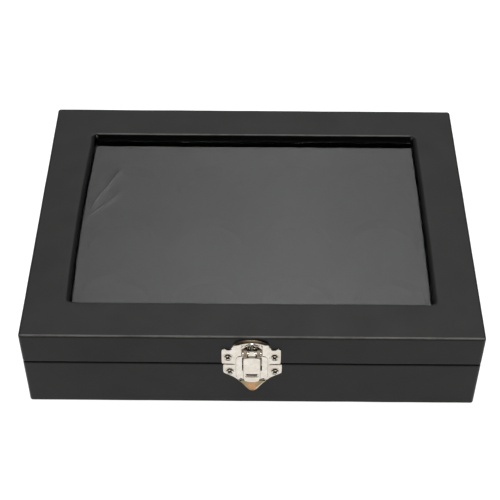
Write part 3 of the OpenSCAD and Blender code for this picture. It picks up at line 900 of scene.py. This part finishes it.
def tongue():
    """The lever: its face, its lip below the slot, and the two rolls that turn on the pin."""
    wide, low, top = LEVER[1].x, LEVER[0].z, 36.5
    corner = [(wide - 2.4, low), (wide - 0.7, low + 0.6), (wide, low + 2.3), (wide, top - 2.6),
              (wide - 0.25, top - 1.5), (wide - 0.8, top - 0.65), (wide - 1.6, top - 0.1),
              (wide - 2.6, top + 0.1), (0.4, top + 0.15)]
    outline = both_ways(corner)

    def height(x, z):
        depth = depth_in(x, z, outline)
        out = TONGUE + 0.12 * soft(1 - np.abs(x) / wide) + 0.42 * soft((low + 2.6 - z) / 1.6)
        return out - 1.5 * rolled(depth, 0.6)
    slot = (-2.75, 2.95, 23.25, 25.5)
    piece = sheet_metal("hasp_tongue", outline, height, METAL, MAT["nickel"], 0.2, [slot])
    finish_piece(piece, "lever", "nickel", "hasp_lever")
    roll_r = 1.25
    for side, x0, x1 in (("left", -3.65, -2.1), ("right", 2.1, 3.65)):
        half = Vector(((x1 - x0) / 2, 0, 0))
        middle = (x0 + x1) / 2
        roll = [((middle, -HALF_Y - 3.5, top - 1.2), half, (0, -1, 0))]
        for k in range(12):
            angle = math.radians(-55 + 24 * k)
            out = PIVOT_D + roll_r * math.cos(angle)
            z = PIVOT_Z + roll_r * math.sin(angle)
            roll.append(((middle, -HALF_Y - out, z), half, (0, -math.cos(angle), math.sin(angle))))
        # the rolls take the painted-shade brown
        piece = strip(f"hasp_tongue_{side}_roll", roll, 0.5, MAT["shaded_nickel"])
        finish_piece(piece, "lever", "nickel", "hasp_lever")


def screw_heads(name, box, body, node):
    """Pan heads with crossed slots."""
    for k, (cx, cz) in enumerate(screw_places(box)):
        outline = disc(cx, cz, HEAD)
        angle = SLOT_TURN if k else math.pi / 2 - SLOT_TURN

        def height(x, z):
            away = np.hypot(x - cx, z - cz) / HEAD
            u = (x - cx) * math.cos(angle) + (z - cz) * math.sin(angle)
            v = (z - cz) * math.cos(angle) - (x - cx) * math.sin(angle)
            slot = soft((0.5 - np.abs(u)) / 0.25) * soft((1.3 - np.abs(v)) / 0.25)
            cross = np.maximum(slot, soft((0.5 - np.abs(v)) / 0.25) * soft((1.3 - np.abs(u)) / 0.25))
            return SHEET + 0.4 - rolled(HEAD * (1 - away), 0.75) - 0.3 * cross
        piece = sheet_metal(f"{name}_{k + 1}", outline, height, 0.3, MAT[name], 0.1)
        finish_piece(piece, body, "nickel", node)


# the paths of the film's two creases, in x and y, and their half width and height
CREASES = (
    ((-76.4, 6.5), (-75.4, 11.0), (-73.1, 16.2), (-70.2, 21.9), (-67.8, 27.5), (-64.9, 33.4)),
    ((-79.7, -2.2), (-76.6, 2.2), (-73.1, 6.2), (-68.8, 11.0), (-64.2, 17.0)),
)
CREASE_R = 0.9
CREASE_RISE = 0.16
# places where the film stands off the pane: x, y, radius and height
PUCKERS = ((-76.5, 12, 4.5, 0.30), (-66, 31, 3.5, 0.15))
# small specks that stand up in it: x, y and radius, and their height
SPECKS = (
    (-10.6, -10.3, 0.8), (3, -20, 0.7), (17, -27.3, 1.0),
    (-58.4, -6.1, 1.0), (58.5, -19.3, 1.4), (40, -38, 0.7),
)
SPECK_RISE = 0.06
FILM_TOP = FILM[1].z - 0.02
FILM_GAP = 0.03


def crease_height(p):
    """Height of the film's creases over its flat, in millimetres."""
    height = 0.0
    for path in CREASES:
        for (ax, ay), (bx, by) in zip(path, path[1:]):
            along = Vector((bx - ax, by - ay))
            t = max(0.0, min(1.0, (p.xy - Vector((ax, ay))).dot(along) / along.length_squared))
            away = (p.xy - Vector((ax, ay)) - along * t).length
            height = max(height, CREASE_RISE * math.exp(-(away / CREASE_R) ** 2))
    for x, y, radius, rise in PUCKERS:
        height += rise * math.exp(-((p.x - x) ** 2 + (p.y - y) ** 2) / radius ** 2)
    for x, y, radius in SPECKS:
        height += SPECK_RISE * math.exp(-((p.x - x) ** 2 + (p.y - y) ** 2) / radius ** 2)
    return height


def film_sheet():
    """The protective film: a thin closed sheet on the pane, puckered at the left, and painted highlight
    strips along its two creases.
    """
    columns, rows = 200, 150
    low = PANE[1].z + FILM_GAP
    vertices = []
    for level in (low, FILM_TOP):
        for j in range(rows + 1):
            for i in range(columns + 1):
                y = (2 * j / rows - 1) * (WINDOW_Y - 0.25)
                x = 2 * i / columns - 1
                side = Vector((math.copysign(1, x), y, 0))
                reach = WINDOW_X - CORNER_PULL + window_bow(side) - 0.3
                p = Vector((x * reach, y, level))
                p.z += crease_height(p) + 0.02 * (noise.noise(p / 9) + 1) / 2
                vertices.append(p)
    count = (rows + 1) * (columns + 1)
    faces = []
    for j in range(rows):
        for i in range(columns):
            a = j * (columns + 1) + i
            quad = (a, a + 1, a + columns + 2, a + columns + 1)
            faces.append(tuple(k + count for k in quad))
            faces.append(tuple(reversed(quad)))
    edge = list(range(columns))
    edge += [j * (columns + 1) + columns for j in range(rows)]
    edge += [rows * (columns + 1) + i for i in range(columns, 0, -1)]
    edge += [j * (columns + 1) for j in range(rows, 0, -1)]
    for a, b in zip(edge, edge[1:] + edge[:1]):
        faces.append((a, b, b + count, a + count))
    piece = new_piece("protective_film", vertices, faces, MAT["film"])
    finish_piece(piece, "lid", "film", "pane_film")
    # grey strips along the two creases: painted highlights
    for k, path in enumerate(CREASES):
        stations = []
        for i, ((x, y), (step_x, step_y)) in enumerate(runs(path)):
            run = Vector((step_x, step_y, 0)).normalized()
            half_w = 0.05 + 0.22 * math.sin(math.pi * (i + 0.6) / (len(path) + 0.2))
            z = FILM_TOP + crease_height(Vector((x, y, 0))) + 0.02
            stations.append(((x, y, z), run.cross(Vector((0, 0, 1))) * half_w, (0, 0, 1)))
        finish_piece(strip(f"film_crease_{k + 1}", stations, 0.04, MAT["crease"]), "lid", "film", "pane_film")


# a pleat's places: how far below the case's top, how far in from the window's corner, and half how wide
PLEAT = (
    (0.7, 0.0, 0.12), (1.0, 0.45, 0.5), (1.6, 0.65, 0.75),
    (2.5, 0.6, 0.7), (3.4, 0.5, 0.45), (4.0, 0.4, 0.2),
)


def corner_tucks():
    """Where the turned-in leatherette meets in each corner of the window, a little pleat of it stands up."""
    for x_side in (-1, 1):
        for y_side in (-1, 1):
            t = y_side * WINDOW_Y
            reach = WINDOW_X - CORNER_PULL + window_bow(Vector((x_side, t, 0)))
            stations = []
            for down, inward, half_w in PLEAT:
                spot = Vector((x_side * (reach - inward), y_side * (WINDOW_Y - inward), TOP_Z - down))
                half = Vector((x_side * half_w * 0.72, -y_side * half_w * 0.72, 0))
                stations.append((spot, half, Vector((-x_side * 0.6, -y_side * 0.6, 0.5))))
            name = f"corner_tuck_{'left' if x_side < 0 else 'right'}_{'front' if y_side < 0 else 'back'}"
            finish_piece(strip(name, stations, 0.7, MAT["tuck"]), "lid", "leatherette")


lid = cut_hinge_seats(cover_of_lid(), LID_Z - 1, LID_Z + SKIN + 0.02)
finish_piece(even_normals(lid), "lid", "leatherette", "lid_cover")
base = cut_hinge_seats(cover_of_base(), RIM_Z - SKIN - 0.02, RIM_Z + 1)
finish_piece(even_normals(base), "base", "leatherette", "base_cover")

upper_plate()
lower_plate()
tongue()
pressed("hasp_pin", "hasp_rod", MAT["nickel"], "lid", "nickel")
screw_heads("lower_hasp_screw", BASE_SCREWS, "base", "hasp_base_screws")
screw_heads("upper_hasp_screw", LID_SCREWS, "lid", "hasp_lid_screws")

for side in ("left", "right"):
    eased(f"{side}_hinge_base_leaf", f"{side}_lower_leaf", MAT["nickel"], 0.1, "base", "nickel")
    eased(f"{side}_hinge_lid_leaf", f"{side}_upper_leaf", MAT["nickel"], 0.1, "lid", "nickel")
    eased(f"{side}_hinge_pin", f"{side}_rod", MAT["nickel"], 0.1, "base", "nickel")

eased("coin_tray", "coin_insert", MAT["velvet"], 0.5, "base", "velvet_card")
eased("base_lining", "base_velvet", MAT["velvet"], 0.3, "base", "velvet_card")
eased("lid_lining", "lid_velvet", MAT["velvet"], 0.3, "lid", "velvet_card")
for end in ("front", "back", "left", "right"):
    eased(f"bead_{end}", f"glazing_strip_{end}", MAT["velvet"], 0.6, "lid", "velvet_card")
for end in ("front", "back", "left", "right"):
    eased(f"lid_{end}_rail", f"window_board_{end}", MAT["board"], 1.2, "lid", "board")
eased("window_pane", "clear_pane", MAT["pane"], 0.15, "lid", "pane")
film_sheet()
corner_tucks()

CAD_LOOKS = {
    "board": [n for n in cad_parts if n.endswith(("_wall", "floor_board"))],
    "card": ["bottom_sheet", "tray_backer"],
    "foam": ["foam_pad"],
    "nickel": ["hinge_base_screws", "hinge_lid_screws"],
}
for look, names in CAD_LOOKS.items():
    for node_name in names:
        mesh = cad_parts[node_name].data
        mesh.materials.clear()
        mesh.materials.append(MAT[look])


# ---------- floor, light and camera ----------

# half the floor's side, in metres
FLOOR = 12.0
table = Nodes("floor")
floor = new_piece(
    "floor", [(x * FLOOR / MM, y * FLOOR / MM, -0.02) for x, y in ((-1, -1), (1, -1), (1, 1), (-1, 1))],
    [(0, 1, 2, 3)], table.material,
)
table.shader.inputs["Base Color"].default_value = (0.2, 0.2, 0.2, 1)
table.shader.inputs["Roughness"].default_value = 1.0
table.shader.inputs["Specular IOR Level"].default_value = 0.0
table.shader.inputs["Emission Color"].default_value = (1, 1, 1, 1)
table.shader.inputs["Emission Strength"].default_value = 0.97

# the camera: the way it looks, its place in millimetres and its lens
ELEVATION = math.radians(45.83)
AZIMUTH = math.radians(0.247)
ROLL = math.radians(0.252)
CAMERA_PLACE = Vector((0.45, -416.07, 448.79))
LENS = 89.04
back = Vector((
    math.sin(AZIMUTH) * math.cos(ELEVATION),
    -math.cos(AZIMUTH) * math.cos(ELEVATION),
    math.sin(ELEVATION),
))
right = Vector((math.cos(AZIMUTH), math.sin(AZIMUTH), 0))
up = back.cross(right)
camera = bpy.data.objects.new("camera", bpy.data.cameras.new("camera"))
camera.data.lens = LENS
camera.data.sensor_width = 36
camera.data.clip_start = 0.01
turned_right = right * math.cos(ROLL) + up * math.sin(ROLL)
turned_up = up * math.cos(ROLL) - right * math.sin(ROLL)
turned = Matrix((turned_right, turned_up, back)).transposed().to_4x4()
camera.matrix_world = Matrix.Translation(CAMERA_PLACE * MM) @ turned
scene.collection.objects.link(camera)
scene.camera = camera

# The studio: white where the camera sees past the floor, but what lights the case is a broad light overhead
# that fades down the back wall, with black cloth behind the camera and at the sides.
world = bpy.data.worlds.new("studio")
scene.world = world
world.use_nodes = True
sky = world.node_tree
background = sky.nodes["Background"]


def sky_node(kind, inputs, **values):
    node = sky.nodes.new(kind)
    for key, value in values.items():
        setattr(node, key, value)
    for key, value in inputs.items():
        if isinstance(value, bpy.types.NodeSocket):
            sky.links.new(value, node.inputs[key])
        else:
            node.inputs[key].default_value = value
    return node


toward = sky_node("ShaderNodeSeparateXYZ", {0: sky_node("ShaderNodeTexCoord", {}).outputs["Generated"]})
front = sky_node("ShaderNodeMath", {0: toward.outputs["Y"], 1: -1.0}, operation="MULTIPLY")
height = sky_node("ShaderNodeMath", {0: toward.outputs["Z"], 1: front.outputs[0]}, operation="ARCTAN2")
turn = sky_node("ShaderNodeMath", {0: height.outputs[0], 1: math.pi}, operation="DIVIDE")
arch = sky_node("ShaderNodeValToRGB", {0: turn.outputs[0]})
arch.color_ramp.interpolation = "EASE"
PEAK = 10.0
# how bright the studio is at each angle, in degrees, from in front, over the top, to behind
ARCH = (
    (0, 0.08), (58, 0.10), (76, 3.8), (90, 10.0), (110, 6.8),
    (130, 3.1), (139, 2.0), (153, 0.53), (172, 0.10),
)
stops = arch.color_ramp.elements
while len(stops) < len(ARCH):
    stops.new(0.5)
for stop, (angle, level) in zip(stops, ARCH):
    stop.position = angle / 180
    stop.color = (level / PEAK, level / PEAK, level / PEAK, 1)
centred = sky_node("ShaderNodeMath", {0: toward.outputs["X"], 1: 0.03}, operation="SUBTRACT")
aside = sky_node("ShaderNodeMath", {0: centred.outputs[0]}, operation="ABSOLUTE")
sides = sky_node(
    "ShaderNodeMapRange",
    {"Value": aside.outputs[0], "From Min": -0.06, "From Max": 0.52, "To Min": PEAK, "To Max": 0.05 * PEAK},
    interpolation_type="SMOOTHSTEP",
)
glow = sky_node("ShaderNodeMath", {0: arch.outputs[0], 1: sides.outputs["Result"]}, operation="MULTIPLY")
seen = sky_node("ShaderNodeLightPath", {})
shown = sky_node("ShaderNodeMix", {0: seen.outputs["Is Camera Ray"], 2: glow.outputs[0], 3: 1.0})
sky.links.new(shown.outputs[0], background.inputs["Strength"])
background.inputs["Color"].default_value = (1, 1, 1, 1)

scene.view_settings.view_transform = "Standard"
scene.view_settings.look = "None"
